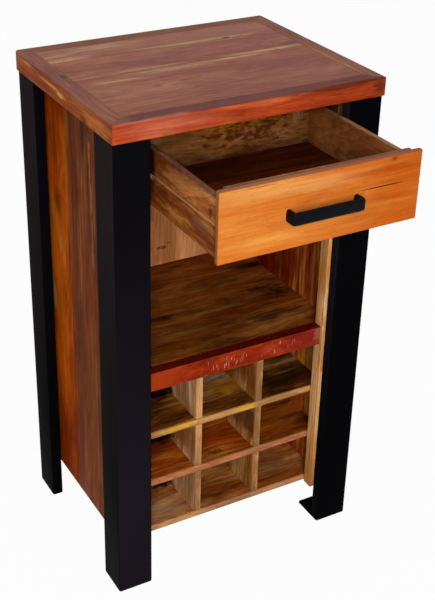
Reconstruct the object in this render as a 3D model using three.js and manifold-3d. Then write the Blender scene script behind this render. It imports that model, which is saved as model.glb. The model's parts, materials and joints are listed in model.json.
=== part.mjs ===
// Wine cabinet: a carcass of reclaimed boards between four steel legs, with one drawer, an
// open shelf and a rack of nine bottle cells.
// Millimetres, +Z up, the front faces -Y. The origin is on the floor, under the middle of
// the box round the whole cabinet with its drawer open, as it is stored.

import * as THREE from 'three';
import { mergeVertices } from 'three/addons/utils/BufferGeometryUtils.js';
import Module from 'manifold-3d';

const wasm = await Module();
wasm.setup();

// Overall size
const overallHeight = 900;
const carcassBottom = 72;

// Tabletop: a mitred edging round three planks
const topWidth = 492;
const topDepth = 395;
const topThickness = 31.5;
const edgingWidth = 28;
const topPlankShares = [0.515, 0.28, 0.205];

// Steel legs: an L-shaped tube in front and a flat one at the rear, each on a foot plate
const legWidth = 65;
const legArmDepth = 20.5;
const legWall = 2;
const legBendRadius = 3.5;
const legSideInset = 1;
const legFrontInset = 4.5;
const legRearInset = 14.5;
const footPlateThickness = 3;
const footPlateRadius = 4;

// Sides: two stiles with planks between them. The front stile is wide and reaches inwards past
// the planks, and the rear one is flush with them inside
const stileThickness = 21.5;
const frontStileWidth = 51;
const sidePlankThickness = 18;
const sidePlankSetback = 3;
const sidePlankShares = [0.615, 0.385];

// Back boards
const backBoardThickness = 5.5;
const backBoardShares = [0.356, 0.288, 0.356];

// Rails and cleats under the tabletop
const frontRailThickness = 9.5;
const frontRailDepth = 40;
const cleatWidth = 12;
const cleatHeight = 20;

// Open shelf and its painted front rail
const shelfLevel = 432.5;
const shelfThickness = 20;
const shelfRailHeight = 35.7;
const shelfRailThickness = 21.5;
const shelfRailSetback = 2.5;

// Bottle rack: lapped boards on a bottom board
const bottomBoardThickness = 13;
const rackBoardThickness = 13.5;
const rackRowPitch = 104;
const rackColumnPitch = 124;
const rackRailGap = 1.5;
const lapShare = 0.5;

// Drawer, drawn shut and then pulled out
const drawerOpening = 208.5;
const drawerBoxLength = 283;
const drawerSideHeight = 96;
const drawerSideThickness = 9;
const drawerSideClearance = 3.5;
const drawerBackThickness = 10;
const drawerInnerFrontThickness = 7;
const drawerFloorThickness = 5;
const drawerFloorRise = 17.5;
const drawerFloorHousing = 3.5;
const drawerFaceThickness = 8.7;
const drawerFaceOverlap = 1.5;
const drawerFaceDrop = 3.5;
const drawerShutGap = 0.5;
const drawerFaceGap = 1.5;
const drawerCleatGap = 5;

// Drawer runners, each let into the cabinet's side and running in a groove of the drawer's side
const runnerRise = 47.5;
const runnerHeight = 10;
const runnerSetback = 4;
const runnerHousing = 4;
const runnerGrooveDepth = 5;
const runnerTipGap = 0.5;
const runnerLowerGap = 1;

// Drawer handle: a flat bar bent square at both ends, a little below the middle of the face
const handleLength = 127;
const handleHeight = 20;
const handleDrop = 2.5;
const handleReach = 21;
const handleBarThickness = 9;
const handlePostWidth = 9;
const handleOuterRadius = 6;
const handleInnerRadius = 2;

// Fixings: countersunk screws of one thickness, and how far each goes into what it holds
const screwHeadRadius = 4;
const screwHeadDepth = 3;
const screwShankRadius = 2;
const legScrewBite = 6;
const railScrewBite = 18;
const handleScrewBite = 10;
const legScrewShares = [0.12, 0.86];
const railScrewShares = [0.2, 0.8];
const fixingSides = 8;

// Clearances between pieces, and how far a cutting tool runs past the face that it opens
const fitGap = 0.3;
const cutOverrun = 2;
const weldTolerance = 0.0001;
const arcSteps = 4;

// Planes and levels that the pieces share
const topUnderside = overallHeight - topThickness;
const legOuterX = topWidth / 2 - legSideInset;
const legFrontY = -topDepth / 2 + legFrontInset;
const legRearY = topDepth / 2 - legRearInset;
const carcassOuterX = legOuterX - legArmDepth - fitGap;
const planksOuterX = carcassOuterX - sidePlankSetback;
const wallX = planksOuterX - sidePlankThickness;
const insideX = carcassOuterX - frontStileWidth;
const carcassFrontY = legFrontY + legArmDepth + fitGap;
const frontStileRearY = carcassFrontY + stileThickness;
const insideRearY = legRearY - backBoardThickness;
const rearStileFrontY = insideRearY - stileThickness;
const bottomBoardTop = carcassBottom + bottomBoardThickness;
const shelfUnderside = shelfLevel - shelfThickness;
const shelfFrontY = carcassFrontY + shelfRailSetback + shelfRailThickness;
const rackFrontY = shelfFrontY + rackRailGap;
const rackLapY = rackFrontY + (insideRearY - rackFrontY) * lapShare;
const rearRailFrontY = insideRearY - cleatHeight;
const drawerOuterX = insideX - drawerSideClearance;
const drawerInnerX = drawerOuterX - drawerSideThickness;
const runnerInnerX = drawerOuterX - runnerGrooveDepth + runnerTipGap;
const runnerFrontY = carcassFrontY + runnerSetback;
const runnerRearY = rearStileFrontY - fitGap;
const drawerFrontY = carcassFrontY - drawerShutGap;
const drawerRearY = drawerFrontY + drawerBoxLength;
const drawerSideTop = topUnderside - cleatHeight - drawerCleatGap;
const drawerBottomLevel = drawerSideTop - drawerSideHeight;
const runnerLevel = drawerBottomLevel + runnerRise;
const drawerFloorUnderside = drawerBottomLevel + drawerFloorRise;
const drawerFloorTop = drawerFloorUnderside + drawerFloorThickness;
const drawerFaceTop = topUnderside - frontRailThickness - drawerFaceGap;
const drawerFaceBottom = drawerBottomLevel - drawerFaceDrop;
const drawerFaceMiddle = (drawerFaceTop + drawerFaceBottom) / 2;
const handleMiddle = drawerFaceMiddle - handleDrop;
const faceFrontY = drawerFrontY - drawerFaceThickness;

const towards = {
  left: new THREE.Vector3(-1, 0, 0),
  right: new THREE.Vector3(1, 0, 0),
  up: new THREE.Vector3(0, 0, 1),
  front: new THREE.Vector3(0, -1, 0),
  rear: new THREE.Vector3(0, 1, 0),
};

const sides = [
  { name: 'left', sign: -1, outward: towards.left },
  { name: 'right', sign: 1, outward: towards.right },
];

function makeMaterial(color, roughness, metalness = 0) {
  return new THREE.MeshStandardMaterial({ color, roughness, metalness });
}

const materials = {
  topPlank: makeMaterial(0x8c6152, 0.5),
  frontEdging: makeMaterial(0xc4502c, 0.5),
  edging: makeMaterial(0xa85f33, 0.5),
  steel: makeMaterial(0x1b1a1e, 0.45, 0.6),
  stile: makeMaterial(0xc08a58, 0.55),
  sidePlank: makeMaterial(0x8a4a26, 0.55),
  backBoard: makeMaterial(0xb27a50, 0.6),
  innerWood: makeMaterial(0x8f6a48, 0.65),
  shelf: makeMaterial(0x5a3a20, 0.5),
  redPaint: makeMaterial(0x9e3320, 0.45),
  rack: makeMaterial(0x9a6c48, 0.6),
  drawerFace: makeMaterial(0xe08a3c, 0.45),
  drawerBox: makeMaterial(0x94602f, 0.55),
  fixing: makeMaterial(0x8f8f8c, 0.4, 0.9),
};

// A span is a pair of low and high values. This mirrors one across the middle plane.
function mirrored(low, high, sign) {
  return sign > 0 ? [low, high] : [-high, -low];
}

// Cuts a span into neighbouring spans, as wide as the shares say.
function splitSpan([low, high], shares) {
  const spans = [];
  let from = low;
  for (const share of shares) {
    const to = from + (high - low) * share;
    spans.push([from, to]);
    from = to;
  }
  return spans;
}

function pointAlong([low, high], share) {
  return low + (high - low) * share;
}

// A closed outline through [x, y, radius] corners, each rounded by its radius.
function roundedOutline(corners) {
  const outline = new THREE.Shape();
  corners.forEach(([x, y, radius = 0], index) => {
    const corner = new THREE.Vector2(x, y);
    const before = new THREE.Vector2(...corners.at(index - 1));
    const after = new THREE.Vector2(...corners[(index + 1) % corners.length]);
    const start = before.sub(corner).setLength(radius).add(corner);
    const end = after.sub(corner).setLength(radius).add(corner);
    if (index === 0) {
      outline.moveTo(start.x, start.y);
    } else {
      outline.lineTo(start.x, start.y);
    }
    if (radius > 0) {
      outline.quadraticCurveTo(x, y, end.x, end.y);
    }
  });
  outline.closePath();
  return outline;
}

// An outline drawn in X and Y, raised from the low to the high level. Its ends are set to
// those very levels, so that neighbours that share a level meet without an overlap.
function extrudeUp(outline, [low, high]) {
  const options = { depth: 1, bevelEnabled: false, curveSegments: arcSteps };
  const geometry = new THREE.ExtrudeGeometry(outline, options);
  const { position } = geometry.attributes;
  for (let index = 0; index < position.count; index += 1) {
    position.setZ(index, position.getZ(index) === 0 ? low : high);
  }
  return geometry;
}

// An outline drawn in X and Z, carried from the low to the high Y.
function extrudeBack(outline, [low, high]) {
  return extrudeUp(outline, [-high, -low]).rotateX(Math.PI / 2);
}

// An outline drawn in Y and Z, carried from the low to the high X.
function extrudeAcross(outline, span) {
  const axes = new THREE.Matrix4().makeBasis(towards.rear, towards.up, towards.right);
  return extrudeUp(outline, span).applyMatrix4(axes);
}

function board(x, y, z) {
  return extrudeUp(roundedOutline([[x[0], y[0]], [x[1], y[0]], [x[1], y[1]], [x[0], y[1]]]), z);
}

function solidFrom(geometry) {
  const bare = geometry.clone();
  bare.deleteAttribute('normal');
  bare.deleteAttribute('uv');
  const welded = mergeVertices(bare, weldTolerance);
  return new wasm.Manifold(new wasm.Mesh({
    numProp: 3,
    vertProperties: new Float32Array(welded.attributes.position.array),
    triVerts: new Uint32Array(welded.index.array),
  }));
}

function geometryFrom(solid) {
  const mesh = solid.getMesh();
  const indexed = new THREE.BufferGeometry();
  indexed.setAttribute('position', new THREE.BufferAttribute(mesh.vertProperties, mesh.numProp));
  indexed.setIndex(new THREE.BufferAttribute(mesh.triVerts, 1));
  const geometry = indexed.toNonIndexed();
  geometry.computeVertexNormals();
  return geometry;
}

// Half the section of a countersunk screw, head up. With a gap it is the tool that cuts its hole.
function fixingSection(length, gap) {
  const shank = screwShankRadius + gap;
  const head = screwHeadRadius + gap;
  const tip = -length - gap;
  const section = [
    new THREE.Vector2(0, tip),
    new THREE.Vector2(shank, tip + screwShankRadius),
    new THREE.Vector2(shank, -screwHeadDepth),
    new THREE.Vector2(head, 0),
  ];
  if (gap > 0) {
    section.push(new THREE.Vector2(head, cutOverrun));
  }
  section.push(new THREE.Vector2(0, section.at(-1).y));
  return section;
}

function fixingGeometry(fixing, gap) {
  const geometry = new THREE.LatheGeometry(fixingSection(fixing.length, gap), fixingSides);
  const headFacing = fixing.into.clone().negate();
  const turn = new THREE.Quaternion().setFromUnitVectors(towards.rear, headFacing);
  return geometry.applyQuaternion(turn).translate(...fixing.at);
}

function cutBy(geometry, tools) {
  let solid = solidFrom(geometry);
  for (const tool of tools) {
    solid = solid.subtract(solidFrom(tool));
  }
  return geometryFrom(solid);
}

function drilled(geometry, fixings) {
  return cutBy(geometry, fixings.map((fixing) => fixingGeometry(fixing, fitGap)));
}

function addPiece(group, name, geometry, material) {
  const mesh = new THREE.Mesh(geometry, material);
  mesh.name = name;
  group.add(mesh);
}

function addFixings(group, fixings) {
  for (const fixing of fixings) {
    addPiece(group, fixing.name, fixingGeometry(fixing, 0), materials.fixing);
  }
}

// Two screws hold each leg. They go through its stile and on into the leg's inner wall, forwards
// at the front and outwards at the rear.
function makeLegScrews() {
  const height = [carcassBottom, topUnderside];
  const ends = [
    {
      end: 'front',
      x: (insideX + carcassOuterX) / 2,
      y: frontStileRearY,
      through: stileThickness,
      outwards: false,
    },
    {
      end: 'rear',
      x: wallX,
      y: rearStileFrontY + stileThickness / 2,
      through: carcassOuterX - wallX,
      outwards: true,
    },
  ];
  const places = ['lower', 'upper'];
  return sides.flatMap(({ name: side, sign, outward }) => ends.flatMap((leg) => (
    legScrewShares.map((share, index) => ({
      name: `leg_screw_${leg.end}_${side}_${places[index]}`,
      length: leg.through + fitGap + legScrewBite,
      at: [sign * leg.x, leg.y, pointAlong(height, share)],
      into: leg.outwards ? outward : towards.front,
    }))
  )));
}

function makeRailScrews() {
  const y = carcassFrontY + frontRailDepth / 2;
  return railScrewShares.map((share, index) => ({
    name: `rail_screw_${sides[index].name}`,
    length: frontRailThickness + railScrewBite,
    at: [pointAlong([-insideX, insideX], share), y, topUnderside - frontRailThickness],
    into: towards.up,
  }));
}

function makeHandleScrews() {
  return sides.map(({ name, sign }) => ({
    name: `handle_screw_${name}`,
    length: drawerInnerFrontThickness + drawerFaceThickness + handleScrewBite,
    at: [
      sign * (handleLength - handlePostWidth) / 2,
      drawerFrontY + drawerInnerFrontThickness,
      handleMiddle,
    ],
    into: towards.front,
  }));
}

// The tabletop's four mitred edging strips, in plan
function edgingOutlines() {
  const [x, y] = [topWidth / 2, topDepth / 2];
  const [innerX, innerY] = [x - edgingWidth, y - edgingWidth];
  return {
    front: [[-x, -y], [x, -y], [innerX, -innerY], [-innerX, -innerY]],
    right: [[x, -y], [x, y], [innerX, innerY], [innerX, -innerY]],
    rear: [[x, y], [-x, y], [-innerX, innerY], [innerX, innerY]],
    left: [[-x, y], [-x, -y], [-innerX, -innerY], [-innerX, innerY]],
  };
}

function addTabletop(group, screws) {
  const level = [topUnderside, overallHeight];
  for (const [place, corners] of Object.entries(edgingOutlines())) {
    const material = place === 'front' ? materials.frontEdging : materials.edging;
    addPiece(group, `top_edging_${place}`, extrudeUp(roundedOutline(corners), level), material);
  }
  const width = [edgingWidth - topWidth / 2, topWidth / 2 - edgingWidth];
  const depth = [edgingWidth - topDepth / 2, topDepth / 2 - edgingWidth];
  const places = ['front', 'middle', 'rear'];
  splitSpan(depth, topPlankShares).forEach((span, index) => {
    const plank = drilled(board(width, span, level), screws);
    addPiece(group, `top_plank_${places[index]}`, plank, materials.topPlank);
  });
}

// A leg's section as [inward in X, inward in Y, radius] corners from the leg's outer corner,
// drawn in by an inset: an L for the front, a flat rectangle for the rear.
function angleSection(inset, radius) {
  const far = legWidth - inset;
  const arm = legArmDepth - inset;
  return [
    [inset, inset, radius], [far, inset, radius], [far, arm, radius],
    [arm, arm, 0], [arm, far, radius], [inset, far, radius],
  ];
}

function flatSection(inset, radius) {
  const far = legWidth - inset;
  const arm = legArmDepth - inset;
  return [[inset, inset, radius], [arm, inset, radius], [arm, far, radius], [inset, far, radius]];
}

// Here a leg is { name, start, inward, section, plateWidth }, and start is its outer corner.
function addLeg(group, leg, screws) {
  const placed = (section) => roundedOutline(section.map(([u, v, radius]) => [
    leg.start[0] + leg.inward[0] * u,
    leg.start[1] + leg.inward[1] * v,
    radius,
  ]));
  const level = [footPlateThickness, topUnderside];
  const boreLevel = [footPlateThickness - cutOverrun, topUnderside + cutOverrun];
  const outside = extrudeUp(placed(leg.section(0, legBendRadius)), level);
  const bore = extrudeUp(placed(leg.section(legWall, legBendRadius - legWall)), boreLevel);
  const tube = cutBy(outside, [bore]);
  addPiece(group, `leg_${leg.name}`, drilled(tube, screws), materials.steel);

  const plate = [[0, 0], [leg.plateWidth, 0], [leg.plateWidth, legWidth], [0, legWidth]];
  const corners = plate.map((corner) => [...corner, footPlateRadius]);
  const foot = extrudeUp(placed(corners), [0, footPlateThickness]);
  addPiece(group, `foot_plate_${leg.name}`, foot, materials.steel);
}

function addLegs(group, screws) {
  for (const { name, sign } of sides) {
    const x = sign * legOuterX;
    addLeg(group, {
      name: `front_${name}`,
      start: [x, legFrontY],
      inward: [-sign, 1],
      section: angleSection,
      plateWidth: legWidth,
    }, screws);
    addLeg(group, {
      name: `rear_${name}`,
      start: [x, legRearY],
      inward: [-sign, -1],
      section: flatSection,
      plateWidth: legArmDepth,
    }, screws);
  }
}

function addSide(group, side, legScrews) {
  const { name, sign } = side;
  const height = [carcassBottom, topUnderside];
  const housing = runnerSpace(sign, fitGap);
  const frontDepth = [carcassFrontY, frontStileRearY];
  const front = cutBy(board(mirrored(insideX, carcassOuterX, sign), frontDepth, height), [housing]);
  const rear = board(mirrored(wallX, carcassOuterX, sign), [rearStileFrontY, insideRearY], height);
  addPiece(group, `stile_front_${name}`, drilled(front, legScrews), materials.stile);
  addPiece(group, `stile_rear_${name}`, drilled(rear, legScrews), materials.stile);

  const between = [frontStileRearY, rearStileFrontY];
  const places = ['front', 'rear'];
  splitSpan(between, sidePlankShares).forEach((span, index) => {
    const plank = cutBy(board(mirrored(wallX, planksOuterX, sign), span, height), [housing]);
    addPiece(group, `side_plank_${name}_${places[index]}`, plank, materials.sidePlank);
  });
}

function addBackBoards(group) {
  const places = ['left', 'middle', 'right'];
  const across = [-carcassOuterX, carcassOuterX];
  splitSpan(across, backBoardShares).forEach((span, index) => {
    const back = board(span, [insideRearY, legRearY], [carcassBottom, topUnderside]);
    addPiece(group, `back_board_${places[index]}`, back, materials.backBoard);
  });
}

function addTopRails(group, screws) {
  const frontSpan = [carcassFrontY, carcassFrontY + frontRailDepth];
  const frontLevel = [topUnderside - frontRailThickness, topUnderside];
  const front = board([-insideX, insideX], frontSpan, frontLevel);
  addPiece(group, 'top_rail_front', drilled(front, screws), materials.innerWood);

  const level = [topUnderside - cleatHeight, topUnderside];
  const rear = board([-wallX, wallX], [rearRailFrontY, insideRearY], level);
  addPiece(group, 'top_rail_rear', rear, materials.innerWood);
  for (const { name, sign } of sides) {
    const width = mirrored(wallX - cleatWidth, wallX, sign);
    const cleat = board(width, [frontSpan[1], rearRailFrontY], level);
    addPiece(group, `top_cleat_${name}`, cleat, materials.innerWood);
  }
}

function addShelf(group) {
  const railDepth = [carcassFrontY + shelfRailSetback, shelfFrontY];
  const rail = board([-insideX, insideX], railDepth, [shelfLevel - shelfRailHeight, shelfLevel]);
  addPiece(group, 'shelf_rail', rail, materials.redPaint);
  const shelf = board([-wallX, wallX], [shelfFrontY, insideRearY], [shelfUnderside, shelfLevel]);
  addPiece(group, 'shelf_board', shelf, materials.shelf);
}

// A rack board crossed by others, as an outline of its depth against its length.
// The slots are open at slotEdge and end at slotStop.
function slottedOutline([low, high], [edge, far], crossings, slotStop) {
  const halfSlot = rackBoardThickness / 2 + fitGap;
  const corners = [[low, edge]];
  for (const crossing of crossings) {
    corners.push([crossing - halfSlot, edge], [crossing - halfSlot, slotStop]);
    corners.push([crossing + halfSlot, slotStop], [crossing + halfSlot, edge]);
  }
  corners.push([high, edge], [high, far], [low, far]);
  return corners;
}

function addRack(group) {
  const depth = [rackFrontY, insideRearY];
  const bottom = board([-wallX, wallX], depth, [carcassBottom, bottomBoardTop]);
  addPiece(group, 'rack_bottom', bottom, materials.rack);

  const firstRow = carcassBottom + bottomBoardThickness / 2 + rackRowPitch;
  const rows = [firstRow, firstRow + rackRowPitch];
  const columns = [-rackColumnPitch / 2, rackColumnPitch / 2];
  const rowNames = ['lower', 'upper'];
  const columnNames = ['left', 'right'];
  rows.forEach((row, index) => {
    const corners = slottedOutline([-wallX, wallX], [insideRearY, rackFrontY], columns, rackLapY);
    const level = [row - rackBoardThickness / 2, row + rackBoardThickness / 2];
    const shelf = extrudeUp(roundedOutline(corners), level);
    addPiece(group, `rack_row_${rowNames[index]}`, shelf, materials.rack);
  });
  columns.forEach((column, index) => {
    const span = [bottomBoardTop, shelfUnderside];
    const upright = slottedOutline(span, [rackFrontY, insideRearY], rows, rackLapY + fitGap);
    const corners = upright.map(([z, y]) => [y, z]);
    const width = [column - rackBoardThickness / 2, column + rackBoardThickness / 2];
    const divider = extrudeAcross(roundedOutline(corners), width);
    addPiece(group, `rack_divider_${columnNames[index]}`, divider, materials.rack);
  });
}

// The box that a runner fills, grown by a gap where it is the tool that cuts its housing
function runnerSpace(sign, gap) {
  const halfHeight = runnerHeight / 2 + gap;
  return board(
    mirrored(runnerInnerX - gap, wallX + runnerHousing + gap, sign),
    [runnerFrontY - gap, runnerRearY + gap],
    [runnerLevel - halfHeight, runnerLevel + halfHeight],
  );
}

function addRunners(group) {
  for (const { name, sign } of sides) {
    addPiece(group, `drawer_runner_${name}`, runnerSpace(sign, 0), materials.innerWood);
  }
}

// A drawer side's section: a runner groove outside, and a housing for the floor inside
function drawerSideOutline(sign) {
  const grooveX = drawerOuterX - runnerGrooveDepth;
  const grooveTop = runnerLevel + runnerHeight / 2 + fitGap;
  const grooveBottom = runnerLevel - runnerHeight / 2 - runnerLowerGap;
  const housingX = drawerInnerX + drawerFloorHousing + fitGap;
  const housingTop = drawerFloorTop + fitGap;
  const housingBottom = drawerFloorUnderside - fitGap;
  const corners = [
    [drawerInnerX, drawerBottomLevel], [drawerOuterX, drawerBottomLevel],
    [drawerOuterX, grooveBottom], [grooveX, grooveBottom],
    [grooveX, grooveTop], [drawerOuterX, grooveTop],
    [drawerOuterX, drawerSideTop], [drawerInnerX, drawerSideTop],
    [drawerInnerX, housingTop], [housingX, housingTop],
    [housingX, housingBottom], [drawerInnerX, housingBottom],
  ];
  return roundedOutline(corners.map(([x, z]) => [sign * x, z]));
}

function innerFrontOutline() {
  const innerY = drawerFrontY + drawerInnerFrontThickness;
  const housingY = innerY - drawerFloorHousing - fitGap;
  const housingTop = drawerFloorTop + fitGap;
  const housingBottom = drawerFloorUnderside - fitGap;
  return roundedOutline([
    [drawerFrontY, drawerBottomLevel], [innerY, drawerBottomLevel],
    [innerY, housingBottom], [housingY, housingBottom], [housingY, housingTop], [innerY, housingTop],
    [innerY, drawerFaceTop], [drawerFrontY, drawerFaceTop],
  ]);
}

function handleOutline() {
  const endX = handleLength / 2;
  const postX = endX - handlePostWidth;
  const frontY = faceFrontY - handleReach;
  const barY = frontY + handleBarThickness;
  return roundedOutline([
    [-endX, faceFrontY], [-endX, frontY, handleOuterRadius], [endX, frontY, handleOuterRadius],
    [endX, faceFrontY], [postX, faceFrontY], [postX, barY, handleInnerRadius],
    [-postX, barY, handleInnerRadius], [-postX, faceFrontY],
  ]);
}

function addDrawerFront(group, screws) {
  const faceX = insideX + drawerFaceOverlap;
  const face = board([-faceX, faceX], [faceFrontY, drawerFrontY], [drawerFaceBottom, drawerFaceTop]);
  addPiece(group, 'drawer_face', drilled(face, screws), materials.drawerFace);
  const innerFront = extrudeAcross(innerFrontOutline(), [-drawerInnerX, drawerInnerX]);
  addPiece(group, 'drawer_inner_front', drilled(innerFront, screws), materials.drawerBox);
  const level = [handleMiddle - handleHeight / 2, handleMiddle + handleHeight / 2];
  addPiece(group, 'handle', drilled(extrudeUp(handleOutline(), level), screws), materials.steel);
  addFixings(group, screws);
}

function addDrawerBox(group) {
  for (const { name, sign } of sides) {
    const side = extrudeBack(drawerSideOutline(sign), [drawerFrontY, drawerRearY]);
    addPiece(group, `drawer_side_${name}`, side, materials.drawerBox);
  }
  const backSpan = [drawerRearY - drawerBackThickness, drawerRearY];
  const back = board([-drawerInnerX, drawerInnerX], backSpan, [drawerFloorTop, drawerSideTop]);
  addPiece(group, 'drawer_back', back, materials.drawerBox);

  const floorX = drawerInnerX + drawerFloorHousing;
  const floorFrontY = drawerFrontY + drawerInnerFrontThickness - drawerFloorHousing;
  const floorLevel = [drawerFloorUnderside, drawerFloorTop];
  const floor = board([-floorX, floorX], [floorFrontY, drawerRearY], floorLevel);
  addPiece(group, 'drawer_floor', floor, materials.drawerBox);
}

function makeCarcass() {
  const carcass = new THREE.Group();
  const legScrews = makeLegScrews();
  const railScrews = makeRailScrews();
  addTabletop(carcass, railScrews);
  addLegs(carcass, legScrews);
  for (const side of sides) {
    addSide(carcass, side, legScrews);
  }
  addBackBoards(carcass);
  addTopRails(carcass, railScrews);
  addShelf(carcass);
  addRack(carcass);
  addRunners(carcass);
  addFixings(carcass, [...legScrews, ...railScrews]);
  return carcass;
}

function makeDrawer() {
  const drawer = new THREE.Group();
  addDrawerFront(drawer, makeHandleScrews());
  addDrawerBox(drawer);
  drawer.position.y = -drawerOpening;
  return drawer;
}

const cabinet = new THREE.Group();
cabinet.add(makeCarcass(), makeDrawer());

// The middle, front to back, of the box round the cabinet and its open drawer
const openFrontY = faceFrontY - handleReach - drawerOpening;
cabinet.position.y = -(openFrontY + topDepth / 2) / 2;

export default cabinet;
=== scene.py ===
# Wine cabinet: old boards between black steel legs, with its drawer pulled out.
# Metres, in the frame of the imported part: +Z up, the front faces -Y.

import json
import math

import bmesh
import bpy
import numpy as np
from mathutils import Matrix, Vector

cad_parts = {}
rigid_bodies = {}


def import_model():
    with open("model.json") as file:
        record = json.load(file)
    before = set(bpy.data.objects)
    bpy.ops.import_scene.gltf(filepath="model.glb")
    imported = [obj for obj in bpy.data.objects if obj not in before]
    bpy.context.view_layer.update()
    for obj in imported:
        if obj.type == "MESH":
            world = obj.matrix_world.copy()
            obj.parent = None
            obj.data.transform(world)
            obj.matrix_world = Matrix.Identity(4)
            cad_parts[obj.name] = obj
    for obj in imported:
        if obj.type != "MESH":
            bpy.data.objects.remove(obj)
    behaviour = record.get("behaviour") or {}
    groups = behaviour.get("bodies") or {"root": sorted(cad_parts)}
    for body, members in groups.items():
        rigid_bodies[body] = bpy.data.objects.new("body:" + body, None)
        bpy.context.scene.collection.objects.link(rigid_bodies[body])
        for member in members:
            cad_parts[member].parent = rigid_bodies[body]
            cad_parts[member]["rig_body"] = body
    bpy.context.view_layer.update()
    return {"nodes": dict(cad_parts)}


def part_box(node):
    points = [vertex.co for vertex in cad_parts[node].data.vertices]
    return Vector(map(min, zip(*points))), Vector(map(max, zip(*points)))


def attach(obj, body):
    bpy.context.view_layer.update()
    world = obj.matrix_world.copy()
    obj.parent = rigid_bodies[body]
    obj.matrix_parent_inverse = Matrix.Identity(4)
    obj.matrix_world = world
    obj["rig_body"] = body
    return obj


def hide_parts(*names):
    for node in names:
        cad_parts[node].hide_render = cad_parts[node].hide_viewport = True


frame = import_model()
nodes = frame["nodes"]

MM = 0.001
X, Y, Z = 0, 1, 2

# The camera, solved from the photograph's straight edges
IMAGE_WIDTH_PX = 435
IMAGE_HEIGHT_PX = 600
FOCAL_PX = 1188.0
CENTRE_X_PX = 195.0
CENTRE_Y_PX = 273.25
SENSOR_MM = 36
CAMERA_FROM_TOP_CENTRE = Vector((-0.92058, -1.67092, 1.52814))
AZIMUTH = 0.50616
ELEVATION = 0.49295
ROLL = 0.01724

# Named places on the cabinet. The tabletop's corners give, for an edging strip along each axis, the
# axis across it and the tabletop's two edges there
TOP_LOW, TOP_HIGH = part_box("top_edging_front")[0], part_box("top_edging_rear")[1]
TOP_CENTRE_Y = (TOP_LOW.y + TOP_HIGH.y) / 2
CHIP_RADIUS = 12 * MM
TOP_CORNERS = {X: (Y, TOP_LOW.y, TOP_HIGH.y), Y: (X, TOP_LOW.x, TOP_HIGH.x)}
FACE_LOW, FACE_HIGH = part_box("drawer_face")
RAIL_LOW, RAIL_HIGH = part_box("shelf_rail")
RACK_FRONT_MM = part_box("rack_bottom")[0].y / MM
WALL_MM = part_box("side_plank_right_front")[0].x / MM
HANDLE_BAR = 9 * MM
HANDLE_OUTER_RADIUS = 6 * MM
HANDLE_INNER_RADIUS = 1 * MM
HANDLE_EDGE_RADIUS = 4.2 * MM
DRAWER_SIDE_TOP_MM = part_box("drawer_side_left")[1].z / MM
RUNNER_MIDDLE_MM = (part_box("drawer_runner_left")[0].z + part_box("drawer_runner_left")[1].z) / 2 / MM

# Planes on or close to the boards' faces, in millimetres, in which spots have their centres
TOP_FACE_MM = 900
TOP_FRONT_MM = -91
TOP_LEFT_MM = -246
SIDE_OUTER_MM = -221
BACK_FRONT_MM = 284
RAIL_FRONT_MM = -62
SHELF_TOP_MM = 432
RACK_TOPS_MM = (85, 189, 293)
DIVIDER_LEFT_FACES_MM = (-70, 53)
DRAWER_OUTER_MM = 170
DRAWER_INNER_MM = 161
DRAWER_BACK_MM = -8

# How far edges are rounded and rubbed back, how deep faces dip, and how far apart a board's points are
BOARD_RADIUS = 0.8 * MM
BOARD_RUB = 0.5 * MM
RAIL_RADIUS = 0.9 * MM
RAIL_RUB = 0.6 * MM
FACE_DIP = 0.12 * MM
POINT_STEP = 12 * MM
POINT_SUPPORT = 1.5 * MM
EASED_EDGE = 0.6 * MM
EASED_PLATE_EDGE = 0.5 * MM

# What all the woods share: half the width of their colour ramp, how strong the tint gets, how dark
# lines, pores and rims get, how far wear reaches in from the edges of wood and of paint, and how
# strong it is on most boards
RAMP_SPREAD = 0.13
TINT_SHARE = 0.75
LINE_DARK = 0.75
PORE_DARK = 0.3
RIM_SHADE = 0.5
WOOD_RIM = 0.0018
PAINT_RIM = 0.0012
USUAL_WEAR = 0.4


def new_object(name, data):
    thing = bpy.data.objects.new(name, data)
    bpy.context.scene.collection.objects.link(thing)
    return thing


def paint(code):
    """A colour written as it looks, #rrggbb, as linear red, green, blue and alpha."""
    levels = [int(code[i:i + 2], 16) / 255 for i in (1, 3, 5)]
    linear = [v / 12.92 if v <= 0.04045 else ((v + 0.055) / 1.055) ** 2.4 for v in levels]
    return (*linear, 1.0)


# The range that nearly all of a noise's values keep to
NOISE_RANGE = (0.3, 0.7)


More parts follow.
